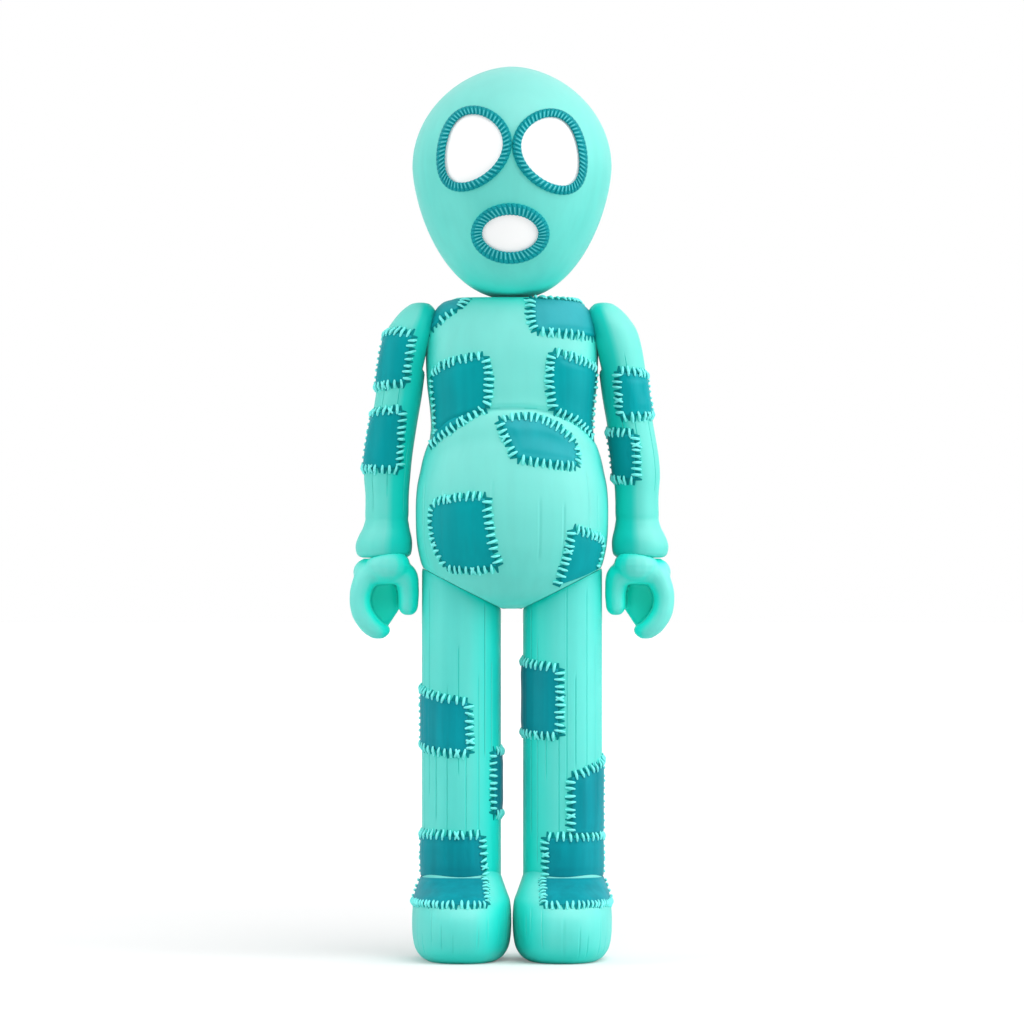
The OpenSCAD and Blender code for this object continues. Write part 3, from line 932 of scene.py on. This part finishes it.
def add_tooth(build, patch, spot, out, reach):
    """A flat dark tooth of painted shadow that points out of the patch between two stitches."""
    steps = 5
    points, normals, radii = [], [], []
    for i in range(steps):
        t = i / (steps - 1)
        turn, z = offset(spot, out, -1.2 + (reach + 1.2) * t)
        _, _, _, normal = patch.surface.frame(turn, z)
        points.append(patch.surface.at(turn, z, 0.10 - 0.12 * t))
        normals.append(normal)
        radii.append(0.88 * (1 - 0.66 * t))
    build.tube(points, normals, radii, flat=0.3, sides=6)


def beneath_arm(p):
    """Whether a point lies on the torso's side, covered by the root of an arm."""
    return 25 < abs(p.x) < 30 and math.hypot(p.y, p.z - SHOULDER_Z) < 10.5


def sew(threads, teeth, patch, rng):
    """Stitches a patch's sewn edges, one stitch in some edges crossed by a second."""
    for letter in patch.sewn:
        length = patch.length(letter)
        seam = length - 2 * SEAM_END
        count = max(3, round(seam / STITCH_PITCH))
        crossed = rng.randrange(1, count - 1) if count > 5 and rng.random() < 0.7 else -1
        for i in range(count):
            s = (SEAM_END + (i + 0.5 + rng.uniform(-0.12, 0.12)) * seam / count) / length
            turn, z, across, up, out, along = patch.edge(letter, s)
            if beneath_arm(patch.surface.base(turn, z)):
                continue
            tilt = rng.gauss(0, 0.13)
            reach_in, reach_out = STITCH_IN * rng.uniform(0.8, 1.1), STITCH_OUT * rng.uniform(0.8, 1.15)
            for lean in (tilt + 0.5, tilt - 0.5) if i == crossed else (tilt,):
                way = (out + along * lean).normalized()
                add_stitch(threads, patch, (turn, z, across, up), way, reach_in, reach_out, rng,
                           rng.uniform(0.43, 0.54))
        for i in range(count + 1):
            s = (SEAM_END + (i + rng.uniform(-0.1, 0.1)) * seam / count) / length
            turn, z, across, up, out, along = patch.edge(letter, s)
            way = (out + along * rng.gauss(0, 0.1)).normalized()
            add_tooth(teeth, patch, (turn, z, across, up), way, STITCH_OUT * rng.uniform(0.75, 1.15))


def make_patches(body, patches, seed, teal):
    """A body's patches as three pieces: the cloth, the threads and the dark teeth of painted shadow between
    them.
    """
    rng = random.Random(seed)
    cloth, threads, teeth = Builder(), Builder(), Builder()
    for patch in patches:
        add_patch(cloth, patch, rng)
        sew(threads, teeth, patch, rng)
    clothe(cloth.make(body + "_patches", [teal], 60), body, "teal_vinyl")
    clothe(threads.make(body + "_stitches", [THREAD], 60), body, "mint_vinyl")
    clothe(teeth.make(body + "_stitch_shadows", [STITCH_SHADOW_TEAL], 60), body, "teal_vinyl")


TORSO_PATCHES = [
    Patch("torso", [(-104, 220.2), (-46, 221.6), (-44, 218), (-76, 209.8)], (0, 2, 0, 0), "rb"),
    Patch("torso", [(15, 221.6), (104, 220.2), (80, 208.3), (14, 210.3)], (0, 2, 0, 3)),
    Patch("torso", [(-67, 195.8), (-16, 201.9), (-16, 184.8), (-68, 171.8)], (1, 2.5, 0, 0)),
    Patch("torso", [(25, 203.3), (74, 197.8), (76, 174.3), (28, 183.8)], (0, 0, -1, 3)),
    Patch("torso", [(-7, 180.3), (44, 172.8), (42, 165.3), (2, 167.8)], (4, 3, 0.5, 0)),
    Patch("torso", [(-53, 152.3), (-13, 154.8), (-7, 131.8), (-44, 131.8)], (1, -1, 1, 5)),
    Patch("torso", [(36, 144.3), (70, 140.3), (68, 130.8), (30, 125.3)], sewn="trl"),
    Patch("torso", [(128, 204.8), (168, 206.8), (172, 185.8), (126, 182.8)], (1, 2, 0, 0)),
    Patch("torso", [(196, 170.8), (234, 168.8), (228, 149.8), (194, 147.8)], (0, 2, 1, 0)),
    Patch("torso", [(140, 148.8), (172, 150.8), (172, 132.8), (146, 132.8)], (1, 0, 1, 0)),
]
LEFT_ARM_PATCHES = [
    Patch("left_arm", [(-100, 209.3), (9, 209.3), (14, 193.3), (-98, 191.8)], (1, 0, 0, 0)),
    Patch("left_arm", [(-102, 182.8), (15, 184.3), (32, 164.3), (-102, 164.8)]),
    Patch("left_arm", [(125, 176.8), (205, 174.8), (200, 156.8), (128, 158.8)], (0, 2, 0, 0)),
]
RIGHT_ARM_PATCHES = [
    Patch("right_arm", [(-12, 197.3), (98, 195.8), (98, 182.8), (-22, 181.8)]),
    Patch("right_arm", [(-104, 176.8), (6, 176.3), (-4, 160.8), (-104, 161.3)]),
    Patch("right_arm", [(150, 202.8), (218, 204.8), (214, 186.8), (152, 185.8)], (0, 0, 1, 0)),
]
LEFT_LEG_PATCHES = [
    Patch("left_leg", [(-98, 91.4), (10, 86.4), (12, 69.2), (-98, 72.4)], (-0.5, 0, 0.5, 0)),
    Patch("left_leg", [(53, 69.8), (132, 69.8), (130, 48.8), (53, 48.8)]),
    Patch("left_leg", [(-100, 41.8), (30, 41.8), (36, 27.4), (-100, 27.4)], sewn="trl"),
    Patch("left_foot", [(-88, 27.6), (30, 27.6), (27, 19.6), (-84, 19.6)], sewn="rbl"),
    Patch("left_leg", [(150, 111.8), (214, 109.8), (210, 90.8), (152, 91.8)]),
]
RIGHT_LEG_PATCHES = [
    Patch("right_leg", [(-132, 101), (-5, 97.8), (-5, 75.2), (-132, 76.4)]),
    Patch("right_leg", [(12, 61.4), (100, 67.6), (100, 42.2), (12, 42.2)], sewn="trl"),
    Patch("right_leg", [(-25, 41.3), (100, 41.3), (100, 27.4), (-25, 27.4)], sewn="trl"),
    Patch("right_foot", [(-24, 27.6), (90, 27.6), (84, 19.6), (-18, 19.6)], sewn="rbl"),
    Patch("right_leg", [(160, 82.8), (222, 84.8), (220, 62.8), (160, 61.8)]),
]


make_head()
make_torso()
for side, word in SIDES:
    make_arm(side, word)
    make_hand(side, word)
    make_leg(side, word)
    make_insert(word + "_eye_white", word + "_eye_insert", eye_outline(side, -2.2))
    make_rim(word + "_eye_winding", word + "_eye_rim",
             eye_outline(side, 0.1), eye_outline(side, -EYE_RIM_W), 54)
make_insert("mouth_white", "mouth_insert", mouth_outline(-3.0))
make_rim("mouth_winding", "mouth_rim", mouth_outline(0.1), mouth_outline(-MOUTH_RIM_W), 46)
make_patches("torso", TORSO_PATCHES, 3, TEAL)
make_patches("left_arm", LEFT_ARM_PATCHES, 5, TEAL)
make_patches("right_arm", RIGHT_ARM_PATCHES, 7, TEAL)
make_patches("left_leg", LEFT_LEG_PATCHES, 11, LEG_TEAL)
make_patches("right_leg", RIGHT_LEG_PATCHES, 13, LEG_TEAL)


# ---------------------------------------------------------------- studio
def make_floor():
    """A white table that glows a little, and more further out, so only soft shadows show on it."""
    build = Builder()
    half = 6000
    build.add([(-half, -half, -0.05), (half, -half, -0.05), (half, half, -0.05), (-half, half, -0.05)])
    build.face((0, 1, 2, 3))
    material, tree, shader = node_material("studio_floor")
    shade = ramp(tree, noise_node(tree, 3), [(0.3, grey(0.69)), (0.7, grey(0.71))])
    tree.links.new(shade, shader.inputs["Base Color"])
    shader.inputs["Roughness"].default_value = 0.9
    shader.inputs["Specular IOR Level"].default_value = 0.1
    away = tree.nodes.new("ShaderNodeVectorMath")
    away.operation = "LENGTH"
    tree.links.new(tree.nodes.new("ShaderNodeTexCoord").outputs["Object"], away.inputs[0])
    glow = ramp(tree, away.outputs["Value"], [(0.25, grey(0.195)), (0.9, grey(0.45))])
    tree.links.new(glow, shader.inputs["Emission Color"])
    seen = tree.nodes.new("ShaderNodeLightPath").outputs["Is Camera Ray"]
    tree.links.new(seen, shader.inputs["Emission Strength"])
    build.make("studio_floor", [material])


def soft_box(name, place, aim, size, glow):
    """An area light whose face has the given radiance."""
    data = bpy.data.lights.new(name, "AREA")
    data.shape, data.size, data.size_y = "RECTANGLE", size[0], size[1]
    data.energy = glow * math.pi * size[0] * size[1]
    lamp = bpy.data.objects.new(name, data)
    lamp.location = place
    lamp.rotation_euler = (Vector(aim) - Vector(place)).to_track_quat("-Z", "Y").to_euler()
    bpy.context.scene.collection.objects.link(lamp)


def make_world():
    """A white room to look at, whose light is dimmer in front of the object than behind it."""
    world = bpy.data.worlds.new("studio")
    world.use_nodes = True
    tree = world.node_tree
    shown = tree.nodes["Background"]
    shown.inputs["Color"].default_value = (1, 1, 1, 1)
    shown.inputs["Strength"].default_value = 1.0
    lighting = tree.nodes.new("ShaderNodeBackground")
    split = tree.nodes.new("ShaderNodeSeparateXYZ")
    tree.links.new(tree.nodes.new("ShaderNodeTexCoord").outputs["Generated"], split.inputs[0])
    glow = ramp(tree, split.outputs["Y"], [(0.0, grey(0.33)), (0.9, grey(0.95))])
    tree.links.new(glow, lighting.inputs["Color"])
    seen = tree.nodes.new("ShaderNodeLightPath").outputs["Is Camera Ray"]
    join = tree.nodes.new("ShaderNodeMixShader")
    tree.links.new(seen, join.inputs[0])
    tree.links.new(lighting.outputs[0], join.inputs[1])
    tree.links.new(shown.outputs[0], join.inputs[2])
    tree.links.new(join.outputs[0], tree.nodes["World Output"].inputs["Surface"])
    bpy.context.scene.world = world


def make_studio():
    scene = bpy.context.scene
    scene.view_settings.view_transform = "Standard"
    make_world()
    middle = (0, 0, 0.16)
    soft_box("left_box", (-0.8, -0.2, 0.3), middle, (0.5, 0.9), 2.5)
    soft_box("right_box", (0.8, -0.2, 0.35), middle, (0.5, 0.9), 3.1)
    sun = bpy.data.lights.new("sun", "SUN")
    sun.energy, sun.angle = 1.9, math.radians(50)
    lamp = bpy.data.objects.new("sun", sun)
    lamp.rotation_euler = Vector((-0.3, 0.5, -0.85)).to_track_quat("-Z", "Y").to_euler()
    scene.collection.objects.link(lamp)
    camera = bpy.data.cameras.new("camera")
    camera.sensor_width = 36
    camera.lens = 209
    viewer = bpy.data.objects.new("camera", camera)
    viewer.location = (0, -2.0, 0.15)
    viewer.rotation_euler = (math.radians(90), 0, 0)
    scene.collection.objects.link(viewer)
    scene.camera = viewer


make_floor()
make_studio()
